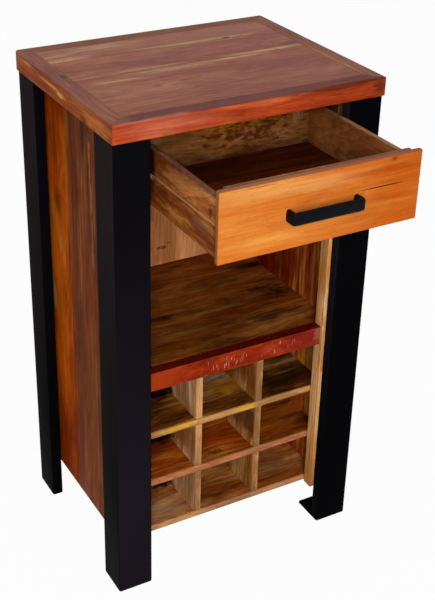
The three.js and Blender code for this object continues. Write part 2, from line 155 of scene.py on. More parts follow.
class Graph:
    """Short ways to add shader nodes to one tree and wire them up."""

    def __init__(self, tree):
        self.tree = tree
        self.nodes = tree.nodes

    def add(self, kind, inputs=None, **settings):
        """A node of a kind, with its settings set first and then its inputs fed."""
        node = self.nodes.new(kind)
        for key, value in settings.items():
            setattr(node, key, value)
        for key, value in (inputs or {}).items():
            self.feed(node.inputs[key], value)
        return node

    def feed(self, socket, value):
        if isinstance(value, bpy.types.NodeSocket):
            self.tree.links.new(value, socket)
        else:
            socket.default_value = value

    def math(self, operation, a, b=0.0, c=0.0):
        return self.add("ShaderNodeMath", {0: a, 1: b, 2: c}, operation=operation).outputs[0]

    def times(self, a, b):
        return self.math("MULTIPLY", a, b)

    def vector(self, operation, a, b=(0, 0, 0)):
        node = self.add("ShaderNodeVectorMath", {0: a, 1: b}, operation=operation)
        return node.outputs["Value" if operation == "LENGTH" else "Vector"]

    def axes(self, vector):
        return self.add("ShaderNodeSeparateXYZ", {0: vector}).outputs

    def rescale(self, value, low, high, to_low=0.0, to_high=1.0, smooth=False):
        kind = "SMOOTHSTEP" if smooth else "LINEAR"
        inputs = {"Value": value, "From Min": low, "From Max": high, "To Min": to_low, "To Max": to_high}
        return self.add("ShaderNodeMapRange", inputs, interpolation_type=kind).outputs["Result"]

    def blend(self, share, a, b):
        node = self.add("ShaderNodeMix", data_type="RGBA")
        self.feed(node.inputs[0], share)
        self.feed(node.inputs[6], a)
        self.feed(node.inputs[7], b)
        return node.outputs[2]

    def ramp(self, value, stops):
        node = self.add("ShaderNodeValToRGB", {"Fac": value})
        elements = node.color_ramp.elements
        while len(elements) < len(stops):
            elements.new(1.0)
        for element, (place, colour) in zip(elements, stops):
            element.position = place
            element.color = colour
        return node.outputs["Color"]

    def scale(self, vector, by):
        return self.add("ShaderNodeVectorMath", {0: vector, "Scale": by}, operation="SCALE").outputs[0]

    def noise(self, vector, rates=None, detail=2.0, roughness=0.5, output="Fac"):
        """Noise that changes a given number of times in a unit of its vector along each axis."""
        if rates:
            vector = self.vector("MULTIPLY", vector, rates)
        inputs = {"Vector": vector, "Scale": 1.0, "Detail": detail, "Roughness": roughness}
        return self.add("ShaderNodeTexNoise", inputs).outputs[output]

    def bump(self, shader, strength, distance, height):
        """Gives a shader's surface a fine relief."""
        inputs = {"Strength": strength, "Distance": distance, "Height": height}
        self.feed(shader.inputs["Normal"], self.add("ShaderNodeBump", inputs).outputs["Normal"])


def group(name, inputs, outputs):
    """An empty shader node group with named sockets, as its graph, input node and output node."""
    tree = bpy.data.node_groups.new(name, "ShaderNodeTree")
    for label, kind, value in inputs:
        socket = tree.interface.new_socket(label, in_out="INPUT", socket_type=kind)
        socket.default_value = value
    for label, kind in outputs:
        tree.interface.new_socket(label, in_out="OUTPUT", socket_type=kind)
    graph = Graph(tree)
    return graph, graph.add("NodeGroupInput").outputs, graph.add("NodeGroupOutput").inputs


FLOAT, VECTOR = "NodeSocketFloat", "NodeSocketVector"


def make_figure_group():
    """Wood figure along X of its vectors. The first is moved by chance, the second starts at the pith."""
    inputs = [("Vector", VECTOR, (0, 0, 0)), ("Pith Vector", VECTOR, (0, 0, 0)),
              ("Wander", FLOAT, 0.02), ("Line Spacing", FLOAT, 0.008), ("Tilt", FLOAT, 0.06)]
    labels = ("Broad", "Blotch", "Tint", "Lines", "Streaks", "Fibres", "Pores")
    g, given, out = group("wood_figure", inputs, [(label, FLOAT) for label in labels])
    centre = (0.5, 0.5, 0.5)
    slow = g.noise(given["Vector"], (4, 12, 12), detail=3.0, output="Color")
    shift = g.vector("MULTIPLY", g.vector("SUBTRACT", slow, centre), (0, 1, 1))
    scaled = g.scale(shift, given["Wander"])
    place = g.vector("ADD", given["Vector"], scaled)
    g.feed(out["Broad"], g.noise(place, (3, 26, 26), detail=3.0))
    cloud = g.noise(place, (7, 17, 17), detail=4.0, roughness=0.6, output="Color")
    channels = g.axes(cloud)
    g.feed(out["Blotch"], channels["X"])
    g.feed(out["Tint"], channels["Y"])
    g.feed(out["Streaks"], g.noise(place, (8, 140, 140), detail=4.0, roughness=0.7))
    g.feed(out["Fibres"], g.noise(place, (14, 460, 460), detail=3.0))
    dashes = g.noise(place, (90, 1100, 1100), detail=1.0)
    g.feed(out["Pores"], g.rescale(dashes, 0.66, 0.74))
    axes = g.axes(g.vector("ADD", given["Pith Vector"], scaled))
    leaning = g.times(axes["X"], given["Tilt"])
    wide = g.math("MULTIPLY_ADD", leaning, 0.5, axes["Y"])
    deep = g.math("ADD", leaning, axes["Z"])
    radius = g.vector("LENGTH", g.add("ShaderNodeCombineXYZ", {1: wide, 2: deep}).outputs[0])
    bend = g.noise(given["Vector"], (6, 34, 34), detail=3.0)
    turns = g.math("MULTIPLY_ADD", bend, 1.6, g.math("DIVIDE", radius, given["Line Spacing"]))
    chance = g.add("ShaderNodeTexWhiteNoise", {"W": g.math("FLOOR", turns)}, noise_dimensions="1D")
    ring = g.math("POWER", g.math("FRACT", turns), 2.5)
    strength = g.math("MULTIPLY_ADD", chance.outputs["Value"], 0.8, 0.2)
    g.feed(out["Lines"], g.times(ring, strength))
    return g.tree


def make_spot_group():
    """A soft mask round a centre: 1 inside, falling to 0 at the size given, with a ragged rim."""
    inputs = [("Vector", VECTOR, (0, 0, 0)), ("Centre", VECTOR, (0, 0, 0)), ("Size", VECTOR, (1, 1, 1)),
              ("Softness", FLOAT, 0.5), ("Ragged", FLOAT, 0.3), ("Detail Size", VECTOR, (0.02, 0.02, 0.02))]
    g, given, out = group("spot", inputs, [("Mask", FLOAT)])
    offset = g.vector("DIVIDE", g.vector("SUBTRACT", given["Vector"], given["Centre"]), given["Size"])
    rough = g.noise(g.vector("DIVIDE", given["Vector"], given["Detail Size"]), detail=3.0)
    push = g.times(g.math("SUBTRACT", rough, 0.5), g.times(given["Ragged"], 2.0))
    reach = g.math("ADD", g.vector("LENGTH", offset), push)
    start = g.math("SUBTRACT", 1.0, given["Softness"])
    g.feed(out["Mask"], g.math("SUBTRACT", 1.0, g.rescale(reach, start, 1.0, smooth=True)))
    return g.tree


def make_rim_group():
    """Wear near the edges of a box: the middle one of a point's three distances to the box's faces."""
    inputs = [("Vector", VECTOR, (0, 0, 0)), ("Low", VECTOR, (0, 0, 0)), ("High", VECTOR, (1, 1, 1)),
              ("Reach", FLOAT, 0.002), ("Patchy", FLOAT, 0.6)]
    g, given, out = group("worn_rim", inputs, [("Mask", FLOAT)])
    near = g.vector("MINIMUM", g.vector("SUBTRACT", given["Vector"], given["Low"]),
                    g.vector("SUBTRACT", given["High"], given["Vector"]))
    axes = g.axes(near)
    smaller = g.math("MINIMUM", axes["X"], axes["Y"])
    larger = g.math("MAXIMUM", axes["X"], axes["Y"])
    middle = g.math("MAXIMUM", smaller, g.math("MINIMUM", larger, axes["Z"]))
    patches = g.noise(given["Vector"], (45, 45, 45), detail=3.0)
    swing = g.times(g.math("SUBTRACT", patches, 0.5), g.times(given["Patchy"], 4.0))
    reach = g.times(given["Reach"], g.math("ADD", 1.0, swing))
    g.feed(out["Mask"], g.math("SUBTRACT", 1.0, g.rescale(middle, 0.0, reach, smooth=True)))
    return g.tree


FIGURE = make_figure_group()
SPOT = make_spot_group()
RIM = make_rim_group()

# What a wood has unless it says otherwise: the strength of its growth lines, blotches, streaks and
# fibres, how far its grain wanders, how far apart the lines are, how much they lean, which draws them
# as arcs, and its gloss
USUAL_LOOK = dict(lines=0.3, blotch=0.2, streaks=1.0, fibres=0.2,
                  wander=0.03, spacing=0.008, tilt=0.06, gloss=0.02)


def timber(dark, middle, light, tint, **look):
    """A wood's three colours, a tint that comes in patches, and where it differs from the usual look."""
    return {**USUAL_LOOK, **look, "colours": (dark, middle, light), "tint": tint}


WOODS = {
    "top": timber("#804838", "#985c4a", "#ac725a", "#8a5046", blotch=0.1, streaks=0.8, wander=0.05,
        spacing=0.006, gloss=0.04),
    "front_edging": timber("#942c0c", "#c04c24", "#dc7440", "#a83412", blotch=0.12),
    "side_edging": timber("#843a14", "#b4622e", "#d68c4c", "#9c3c14", lines=0.4),
    "orange_side": timber("#8c3200", "#b44c06", "#cc6e18", "#8c2e00", lines=0.2, streaks=0.75, wander=0.05,
        spacing=0.014, tilt=0.2, gloss=0.01),
    "brown_side": timber("#54260e", "#8c4420", "#aa6238", "#82360c", gloss=0.01),
    "stile": timber("#c07c3c", "#eaac6a", "#fcd09c", "#c0742c", lines=0.4, blotch=0.12),
    "inner_front": timber("#581a06", "#984010", "#c88434", "#7c1e06", lines=0.15, blotch=0.3, streaks=1.1,
        wander=0.05),
    "inner_rear": timber("#4c0c04", "#7c1c08", "#a03812", "#5c0c04"),
    "back": timber("#bc7840", "#de9258", "#f0ac74", "#cc7e46", blotch=0.12, streaks=0.9),
    "plain": timber("#6e5034", "#8f6c4a", "#a88460", "#7c5434", blotch=0.15),
    "shelf": timber("#4c2008", "#8a4a16", "#b47638", "#5c2204", lines=0.35, blotch=0.35, streaks=0.8,
        wander=0.06, spacing=0.009, tilt=0.2),
    "rack_low": timber("#6c3410", "#b2682e", "#d89c5c", "#984414", lines=0.4, blotch=0.35, wander=0.06,
        spacing=0.012, tilt=0.4),
    "rack_orange": timber("#581c04", "#a24c10", "#cc8034", "#903404", lines=0.4, blotch=0.35, wander=0.06,
        spacing=0.010, tilt=0.45),
    "rack_dark": timber("#341606", "#744014", "#b07a38", "#4a220a", lines=0.4, blotch=0.35, wander=0.07,
        spacing=0.012, tilt=0.35),
    "divider_left": timber("#7c5232", "#b88458", "#d8b088", "#905028", lines=0.35, blotch=0.25, wander=0.05,
        spacing=0.012, tilt=0.35),
    "divider_right": timber("#54300f", "#986028", "#c8965c", "#703c10", lines=0.35, blotch=0.25, wander=0.05,
        spacing=0.012, tilt=0.35),
    "drawer_face": timber("#cc6420", "#dc7a2c", "#ec9c48", "#d06420", lines=0.05, blotch=0.06, streaks=0.5,
        wander=0.012, spacing=0.02, tilt=0.02, fibres=0.08),
    "drawer_side": timber("#70300f", "#a05a28", "#d08e4c", "#7a3210", lines=0.45, blotch=0.35, wander=0.05,
        tilt=0.25),
    "drawer_inner": timber("#5a3418", "#8a5a2e", "#b07e48", "#6f3c18", lines=0.2, blotch=0.25),
    "drawer_floor": timber("#2c0e04", "#481a08", "#663010", "#381204"),
}

# For a board along each axis: the turn that lays it along X, and its two axes that then lie along Y and Z
GRAIN_TURNS = {X: (0, 0, 0), Y: (0, 0, math.radians(-90)), Z: (0, math.radians(90), 0)}
CROSS_AXES = {X: (Y, Z), Y: (X, Z), Z: (Y, X)}

# The half size of a spot that has no end
WIDE = 9999


def spot(at, size, colour, strength=0.8, soft=0.8, ragged=0.5, detail=(20, 20, 20)):
    """A patch of another colour on a board. Its place, half size and detail are in millimetres."""
    return dict(at=Vector(at) * MM, size=Vector(size) * MM, colour=colour, strength=strength,
                soft=soft, ragged=ragged, detail=Vector(detail) * MM)


def spots_on(axis, plane, depth, **usual):
    """A way to write the spots of one face: all in one plane across an axis and with one depth."""
    def face_spot(at, size, colour, strength=0.8, **more):
        place = (*at[:axis], plane, *at[axis:])
        return spot(place, (*size[:axis], depth, *size[axis:]), colour, strength, **{**usual, **more})
    return face_spot


# The red rail: where it is nicked most, its brighter left part, and its darker right end with a paler patch
rail_spot = spots_on(Y, RAIL_FRONT_MM, 20)
RAIL_NICKS = (
    rail_spot((-25, 413), (80, 24), "#d89878", 1.0, soft=0.9),
    rail_spot((88, 415), (50, 22), "#d89878", 0.9, soft=0.9),
)
RAIL_PATCHES = (
    rail_spot((-173, 415), (120, 40), "#ac3c10", detail=(40, 20, 20)),
    rail_spot((150, 415), (70, 30), "#84241c", ragged=0.7, detail=(20, 20, 12)),
    rail_spot((168, 420), (12, 22), "#a8644c", 0.7, ragged=0.9, detail=(8, 8, 8)),
)


def spot_mask(g, place, patch):
    node = g.add("ShaderNodeGroup", {
        "Vector": place, "Centre": patch["at"], "Size": patch["size"], "Softness": patch["soft"],
        "Ragged": patch["ragged"], "Detail Size": patch["detail"],
    }, node_tree=SPOT)
    return g.times(node.outputs["Mask"], patch["strength"])


def spotted(g, place, colour, spots):
    for patch in spots:
        colour = g.blend(spot_mask(g, place, patch), colour, paint(patch["colour"]))
    return colour


def rim_mask(g, place, low, high, reach):
    inputs = {"Vector": place, "Low": low, "High": high, "Reach": reach}
    return g.add("ShaderNodeGroup", inputs, node_tree=RIM).outputs["Mask"]


def start_material(name):
    """A new material with its graph, its shader and the place of a point on the piece."""
    material = bpy.data.materials.new(name)
    material.use_nodes = True
    g = Graph(material.node_tree)
    return material, g, g.nodes["Principled BSDF"], g.add("ShaderNodeTexCoord").outputs["Object"]


def pith_place(axis, size, seed):
    """Where the middle of the tree lay from a board's own middle: off its broad face."""
    draws = np.random.default_rng(seed)
    off, aside = draws.uniform(0.02, 0.06), draws.uniform(-0.03, 0.03)
    first, second = CROSS_AXES[axis]
    return (0, aside, off) if size[second] < size[first] else (0, off, aside)


def wood_material(name, wood, axis, seed, low, high, spots, wear):
    """One board's wood: its figure along an axis, its own spots, and worn edges."""
    look = WOODS[wood]
    dark, middle, light = (paint(code) for code in look["colours"])
    material, g, shader, place = start_material(name)
    pith = g.add("ShaderNodeMapping", {
        "Vector": g.vector("SUBTRACT", place, (low + high) / 2),
        "Location": pith_place(axis, high - low, seed), "Rotation": GRAIN_TURNS[axis],
    }).outputs["Vector"]
    moved = g.vector("ADD", pith, (seed * 1.7, seed * 0.37, seed * 0.53))
    figure = g.add("ShaderNodeGroup", {
        "Vector": moved, "Pith Vector": pith, "Wander": look["wander"],
        "Line Spacing": look["spacing"], "Tilt": look["tilt"],
    }, node_tree=FIGURE)
    parts = figure.outputs
    tone = g.math("MULTIPLY_ADD", parts["Streaks"], 0.5, g.times(parts["Broad"], 0.5))
    spread = RAMP_SPREAD / look["streaks"]
    colour = g.ramp(tone, [(0.5 - spread, dark), (0.5, middle), (0.5 + spread, light)])
    colour = g.blend(g.rescale(parts["Tint"], 0.48, 0.66, 0.0, TINT_SHARE), colour, paint(look["tint"]))
    colour = spotted(g, place, colour, spots)
    blotch = g.rescale(parts["Blotch"], *NOISE_RANGE, 1.0 - look["blotch"], 1.0 + look["blotch"])
    fibre = g.rescale(parts["Fibres"], *NOISE_RANGE, 1.0 - look["fibres"], 1.0 + look["fibres"])
    lined = g.math("MULTIPLY_ADD", parts["Lines"], -LINE_DARK * look["lines"], 1.0)
    porous = g.math("MULTIPLY_ADD", parts["Pores"], -PORE_DARK, 1.0)
    shade = g.times(g.times(blotch, fibre), g.times(lined, porous))
    colour = g.scale(colour, shade)
    rim_colour = (*(RIM_SHADE * v for v in dark[:3]), 1.0)
    worn = g.times(rim_mask(g, place, low, high, WOOD_RIM), wear)
    colour = g.blend(worn, colour, rim_colour)
    g.feed(shader.inputs["Base Color"], colour)
    g.feed(shader.inputs["Roughness"], g.math("MULTIPLY_ADD", parts["Streaks"], 0.24, 0.36))
    shader.inputs["Specular IOR Level"].default_value = look["gloss"]
    relief = g.math("MULTIPLY_ADD", parts["Pores"], -1.2, g.math("ADD", parts["Fibres"], parts["Streaks"]))
    g.bump(shader, 0.4, 0.0003, relief)
    return material


def steel_material(name, colours, gloss, rough):
    """Black powder coat with a fine orange-peel bump. Its colours are those of its front, low down and high
    up, and of its sides, low down and high up. They are painted light and shade: each face and height is
    coloured for how light falls on it."""
    material, g, shader, place = start_material(name)
    cloud = g.noise(place, (6, 6, 3), detail=4.0)
    height = g.axes(place)["Z"]
    rise = g.rescale(g.math("MULTIPLY_ADD", cloud, 0.2, height), 0.3, 0.85)
    normal = g.axes(g.add("ShaderNodeNewGeometry").outputs["Normal"])
    sideways = g.rescale(g.math("ABSOLUTE", normal["X"]), 0.6, 0.95)
    front_low, front_high, side_low, side_high = (paint(code) for code in colours)
    front = g.blend(rise, front_low, front_high)
    colour = g.blend(sideways, front, g.blend(rise, side_low, side_high))
    g.feed(shader.inputs["Base Color"], colour)
    g.feed(shader.inputs["Roughness"], g.rescale(cloud, *NOISE_RANGE, rough, rough + 0.12))
    shader.inputs["Specular IOR Level"].default_value = gloss
    peel = g.noise(place, (900, 900, 900), detail=1.0)
    g.bump(shader, 0.12, 0.0002, peel)
    return material


def screw_material():
    material, g, shader, place = start_material("zinc_screw")
    cloud = g.noise(place, (400, 400, 400), detail=2.0)
    g.feed(shader.inputs["Base Color"], g.ramp(cloud, [(0.3, paint("#8a8880")), (0.7, paint("#b4b2aa"))]))
    g.feed(shader.inputs["Roughness"], g.rescale(cloud, *NOISE_RANGE, 0.3, 0.5))
    shader.inputs["Metallic"].default_value = 1.0
    return material


def red_paint_material():
    """Old red paint on a rail: uneven coats, a darker top and upright nicks that show the wood."""
    material, g, shader, place = start_material("old_red_paint")
    coats = g.noise(place, (24, 70, 60), detail=5.0, roughness=0.65)
    colour = g.ramp(coats, [(0.3, paint("#701405")), (0.5, paint("#96280c")), (0.72, paint("#b44420"))])
    colour = spotted(g, place, colour, RAIL_PATCHES)
    normal = g.axes(g.add("ShaderNodeNewGeometry").outputs["Normal"])
    top = g.rescale(normal["Z"], 0.5, 0.9)
    colour = g.blend(g.times(top, 0.9), colour, paint("#580d07"))
    nicks = g.noise(place, (420, 300, 65), detail=1.0)
    crowded = g.math("MAXIMUM", *(spot_mask(g, place, patch) for patch in RAIL_NICKS))
    nicked = g.rescale(g.math("MULTIPLY_ADD", crowded, 0.12, nicks), 0.72, 0.79)
    worn = rim_mask(g, place, RAIL_LOW, RAIL_HIGH, PAINT_RIM)
    bare = g.math("MAXIMUM", nicked, g.times(worn, 0.15))
    colour = g.blend(g.times(bare, 0.8), colour, paint("#d89878"))
    g.feed(shader.inputs["Base Color"], colour)
    g.feed(shader.inputs["Roughness"], g.rescale(coats, *NOISE_RANGE, 0.32, 0.5))
    shader.inputs["Specular IOR Level"].default_value = 0.03
    g.bump(shader, 0.4, 0.0004, g.math("SUBTRACT", coats, nicked))
    return material


def ripple(along, across, seed):
    """A smooth random value from -1 to 1 along a board: five sine waves of falling height, added up."""
    draws = np.random.default_rng(seed)
    total = np.zeros(np.broadcast(along, across).shape)
    for step in range(5):
        rate = 9.0 * 2.1 ** step
        phase = draws.uniform(0, 2 * np.pi, 2)
        total += np.sin(rate * along + phase[0] + 2.0 * np.sin(60 * across + phase[1])) / 1.5 ** step
    return total / 2.6


def spaced(low, high, step, support):
    """Places from low to high about a step apart, with one more just inside each end."""
    inner = np.linspace(low + support, high - support, max(2, int((high - low) / step)))
    return np.concatenate([[low], inner, [high]])


def board_section(half_b, half_c, radius):
    """A rectangle's outline, anticlockwise, as the rounded corners' centres and the outward normals."""
    arc = np.radians(np.linspace(0, 90, 5))
    centres, normals = [], []
    inner_b, inner_c = half_b - radius, half_c - radius
    support = min(POINT_SUPPORT, inner_b / 3, inner_c / 3)
    corners = [(inner_b, inner_c), (-inner_b, inner_c), (-inner_b, -inner_c), (inner_b, -inner_c)]
    for turn, corner in enumerate(corners):
        angle = arc + turn * np.pi / 2
        centres.append(np.tile(corner, (arc.size, 1)))
        normals.append(np.stack([np.cos(angle), np.sin(angle)], 1))
        following = np.array(corners[(turn + 1) % 4])
        length = np.linalg.norm(following - corner)
        share = (spaced(0, length, POINT_STEP, support) / length)[1:-1, None]
        centres.append(np.array(corner) * (1 - share) + following * share)
        normals.append(np.tile(normals[-1][-1], (share.size, 1)))
    return np.concatenate(centres), np.concatenate(normals)


def board_mesh(name, low, high, axis, radius, rub, seed, mitred=False):
    """A board: a rounded rectangle carried along its long axis, drawn in at both ends.

    Its long edges are rubbed back by a random wave, and its faces dip a little. With mitred
    corners it gets shorter at both ends as a point goes inwards from its outer edge.
    """
    low, high = np.array(low), np.array(high)
    middle, half = (low + high) / 2, (high - low) / 2
    b, c = (axis + 1) % 3, (axis + 2) % 3
    centres, normals = board_section(half[b], half[c], radius)
    end = np.radians(np.linspace(80, 0, 4))
    reach = half[axis] - radius
    flat = spaced(-reach, reach, POINT_STEP, POINT_SUPPORT)[1:-1]
    if mitred:
        close = reach - np.array([7.5, 6, 4.5, 3]) * MM
        flat = np.sort(np.concatenate([flat, close, -close]))
    along = np.concatenate([-reach - radius * np.sin(end), flat, reach + radius * np.sin(end[::-1])])
    curve = radius * (1 - np.cos(end))
    inset = np.concatenate([curve, np.zeros(flat.size), curve[::-1]])
    bend = np.abs(2 * normals[:, 0] * normals[:, 1])[None, :]
    place = np.sign(normals[:, 0]) + 3 * np.sign(normals[:, 1])
    rubbed = rub * bend * np.clip(ripple(along[:, None], place[None, :], seed), 0, 1) ** 2
    dip = FACE_DIP * (1 - bend) * (0.5 + 0.5 * ripple(along[:, None], centres.sum(1)[None, :], seed + 1))
    depth = radius - inset[:, None] - rubbed - dip
    section = centres[None] + normals[None] * depth[:, :, None]
    points = np.zeros((along.size, centres.shape[0], 3))
    points[:, :, b] = section[:, :, 0] + middle[b]
    points[:, :, c] = section[:, :, 1] + middle[c]
    points[:, :, axis] = along[:, None] + middle[axis]
    if mitred:
        cross, *edges = TOP_CORNERS[axis]
        inwards = np.abs(points[:, :, cross] - min(edges, key=lambda edge: abs(edge - middle[cross])))
        points[:, :, axis] = middle[axis] + along[:, None] * (half[axis] - inwards) / half[axis]
        round_off(points)
    return grid_mesh(name, points)


def round_off(points):
    """Knocks off the tabletop's rear left corner: points outside a quarter circle go back onto it."""
    centre = np.array([TOP_LOW.x + CHIP_RADIUS, TOP_HIGH.y - CHIP_RADIUS])
    offset = points[:, :, :2] - centre
    distance = np.maximum(np.hypot(offset[:, :, 0], offset[:, :, 1]), MM / 10)
    outside = (offset[:, :, 0] < 0) & (offset[:, :, 1] > 0) & (distance > CHIP_RADIUS)
    pulled = centre + offset * (CHIP_RADIUS / distance)[:, :, None]
    points[:, :, :2] = np.where(outside[:, :, None], pulled, points[:, :, :2])


def grid_mesh(name, points):
    """A closed mesh of rings of points: quads between neighbouring rings and a flat face at each end."""
    rings, around = points.shape[:2]
    index = np.arange(rings * around).reshape(rings, around)
    following = np.roll(index, -1, 1)
    quads = np.stack([index[:-1], following[:-1], following[1:], index[1:]], -1).reshape(-1, 4)
    faces = quads.tolist() + [index[0, ::-1].tolist(), index[-1].tolist()]
    mesh = bpy.data.meshes.new(name)
    mesh.from_pydata(points.reshape(-1, 3).tolist(), [], faces)
    mesh.update()
    mesh.shade_smooth()
    mesh.set_sharp_from_angle(angle=math.radians(40))
    return mesh


def add_piece(name, mesh, material, node):
    """Puts a finished piece in the scene in place of a CAD node, on that node's body."""
    piece = new_object(name, mesh)
    mesh.materials.clear()
    mesh.materials.append(material)
    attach(piece, nodes[node]["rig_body"])
    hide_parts(node)
    return piece


def handle_mesh():
    """The drawer handle: one flat bar bent square at both ends, round at its edges and bends."""
    low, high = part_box("handle")
    outer, inner, bar = HANDLE_OUTER_RADIUS, HANDLE_INNER_RADIUS, HANDLE_BAR
    turn = np.linspace(0, math.pi / 2, 13)
    bend = np.stack([-np.cos(turn), -np.sin(turn)], -1)
    outside = np.array([low.x + outer, low.y + outer]) + outer * bend
    inside = np.array([low.x + bar + inner, low.y + bar + inner]) + inner * bend
    outside = np.vstack([[low.x, high.y], outside])
    inside = np.vstack([[low.x + bar, high.y], inside])
    flip = np.array([-1, 1])
    middle = np.array([low.x + high.x, 0])
    outside = np.vstack([outside, middle + flip * outside[::-1]])
    inside = np.vstack([inside, middle + flip * inside[::-1]])
    across = inside - outside
    width = np.hypot(across[:, 0], across[:, 1])
    radius = HANDLE_EDGE_RADIUS
    arc = np.linspace(0, math.pi / 2, 7)
    near, far = radius * (1 - np.cos(arc)), radius * (1 - np.sin(arc))
    # Round the bar: up its outer face, over its top and down its inner face. The first half of the
    # points is set off from the outer face, the second half from the inner one
    start = np.concatenate([near[::-1], near, -near[::-1], -near])
    on_inner = np.repeat([0.0, 1.0], 2 * arc.size)
    rise = np.concatenate([low.z + far[::-1], high.z - far, high.z - far[::-1], low.z + far])
    deep = start[None] + on_inner[None] * width[:, None]
    plan = outside[:, None] + deep[:, :, None] * (across / width[:, None])[:, None]
    level = np.broadcast_to(rise[None, :, None], (len(outside), rise.size, 1))
    return grid_mesh("handle_finished", np.concatenate([plan, level], -1))


def softened(node, material, width):
    """Puts in a copy of a CAD node with its sharp edges rounded over."""
    edit = bmesh.new()
    edit.from_mesh(nodes[node].data)
    bmesh.ops.remove_doubles(edit, verts=edit.verts, dist=1e-6)
    bmesh.ops.dissolve_limit(edit, angle_limit=math.radians(1), verts=edit.verts, edges=edit.edges)
    mesh = bpy.data.meshes.new(f"{node}_finished")
    edit.to_mesh(mesh)
    edit.free()
    mesh.shade_smooth()
    piece = add_piece(f"{node}_finished", mesh, material, node)
    bevel = piece.modifiers.new("eased edges", "BEVEL")
    bevel.width = width
    bevel.segments = 2
    bevel.limit_method = "ANGLE"
    bevel.angle_limit = math.radians(35)
    bevel.harden_normals = True


def finished_board(node, wood, axis, seed, spots=(), wear=USUAL_WEAR, mitred=False):
    low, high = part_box(node)
    material = wood_material(f"{node}_wood", wood, axis, seed, low, high, spots, wear)
    mesh = board_mesh(f"{node}_finished", low, high, axis, BOARD_RADIUS, BOARD_RUB, seed, mitred)
    add_piece(f"{node}_finished", mesh, material, node)


def finished_joinery(node, wood, axis, seed, spots=(), wear=USUAL_WEAR):
    """A board whose cuts have to stay: the CAD node's own shape with eased edges."""
    low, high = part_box(node)
    material = wood_material(f"{node}_wood", wood, axis, seed, low, high, spots, wear)
    softened(node, material, EASED_EDGE)


def make_tabletop():
    level = TOP_FACE_MM
    top = spots_on(Z, level, 40, detail=(90, 6, 20))
    front = spots_on(Y, TOP_FRONT_MM, 10)
    left = spots_on(X, TOP_LEFT_MM, 8)
    finished_board("top_plank_front", "top", X, 3, wear=0.15, spots=[
        top((-150, 88), (75, 15), "#c0926a", ragged=0.9),
        top((-60, 100), (110, 11), "#c09468", ragged=0.9),
        top((-120, 92), (110, 10), "#8a5840", 0.7, detail=(60, 3, 20), ragged=1.6),
        top((60, 106), (120, 7), "#c49c6c", 0.85, ragged=0.8),
        top((120, 40), (120, 50), "#8c5248", 0.5, detail=(60, 20, 20)),
    ])
    finished_board("top_plank_middle", "top", X, 5, wear=0.15, spots=[
        top((140, 118), (115, 10), "#c89a70", 0.85, ragged=0.7),
        top((-90, 120), (90, 8), "#bc8c60", 0.75, ragged=0.9),
        top((205, 134), (32, 12), "#57404a", 0.7, detail=(40, 10, 20)),
        top((60, 202), (170, 4), "#b08862", 0.6),
        top((-40, 160), (120, 22), "#8c5850", 0.6, detail=(50, 14, 20)),
    ])
    finished_board("top_plank_rear", "top", X, 8, wear=0.15, spots=[
        top((0, 245), (WIDE, 60), "#ac7660", 0.5, detail=(90, 20, 20)),
        top((-185, 217), (60, 12), "#cc9c74", ragged=1.1),
        top((-195, 240), (45, 10), "#c49470", ragged=1.0),
        top((60, 213), (180, 7), "#c49a6e", 0.9, ragged=0.8),
        top((-100, 257), (90, 22), "#c0906c", 0.75, ragged=1.0),
        spot((116, 208, level), (11, 7, 20), "#46302c", 0.9, detail=(8, 8, 8)),
    ])
    finished_board("top_edging_front", "front_edging", X, 11, wear=0.2, mitred=True, spots=[
        spot((0, -77, level), (WIDE, 40, 1.8), "#5c4040", 0.85, soft=0.4, ragged=0.1),
        spot((-225, -70, level), (30, 30, 1.8), "#8a5a48", 0.7),
        front((-150, 885), (120, 20), "#cc6c50", 0.65, detail=(60, 12, 8)),
        # A painted highlight: a pale line along the left part of the front edge
        front((-180, 899), (90, 2.2), "#e89878", 0.3, soft=0.6, ragged=0.8, detail=(30, 9, 4)),
        front((185, level), (140, 15), "#642212", 0.75, ragged=0.7, detail=(70, 12, 5)),
        front((235, 885), (22, 16), "#5a2618", 0.7, ragged=0.7, detail=(20, 12, 5)),
    ])
    finished_board("top_edging_rear", "side_edging", X, 13, wear=0.2, mitred=True, spots=[
        spot((0, 290, level), (WIDE, 40, 2), "#7a5244", 0.85, soft=0.4, ragged=0.1),
    ])
    finished_board("top_edging_left", "side_edging", Y, 17, wear=0.2, mitred=True, spots=[
        spot((-235, 100, level), (40, WIDE, 2), "#8a5a50", 0.85, soft=0.4, ragged=0.15),
        spot((-223, 140, level), (8, 16, 4), "#4c3230", 0.7),
        left((215, 878), (100, 12), "#98401c", detail=(9, 60, 6)),
        left((140, 889), (66, 4.5), "#ec9c44", 0.9, ragged=0.6, detail=(9, 30, 4)),
        left((100, 884), (26, 6), "#fcbc5c", 1.0, soft=0.7, detail=(9, 18, 5)),
        left((60, 886), (60, 14), "#a4501c", 0.6, ragged=0.8, detail=(9, 20, 6)),
        left((-30, 880), (60, 20), "#d07430", 0.7, ragged=0.8, detail=(9, 20, 8)),
        left((240, 894), (60, 3), "#d48c48", detail=(9, 30, 4)),
        left((12, 873), (17, 10), "#54301c", detail=(9, 12, 8)),
    ])
    finished_board("top_edging_right", "side_edging", Y, 19, wear=0.2, mitred=True, spots=[
        spot((235, 100, level), (40, WIDE, 2), "#8c5f50", 0.85, soft=0.4, ragged=0.15),
        spot((222, 25, level), (5, 95, 10), "#b58a66", 0.7, soft=1.0, ragged=0.7, detail=(6, 50, 5)),
    ])


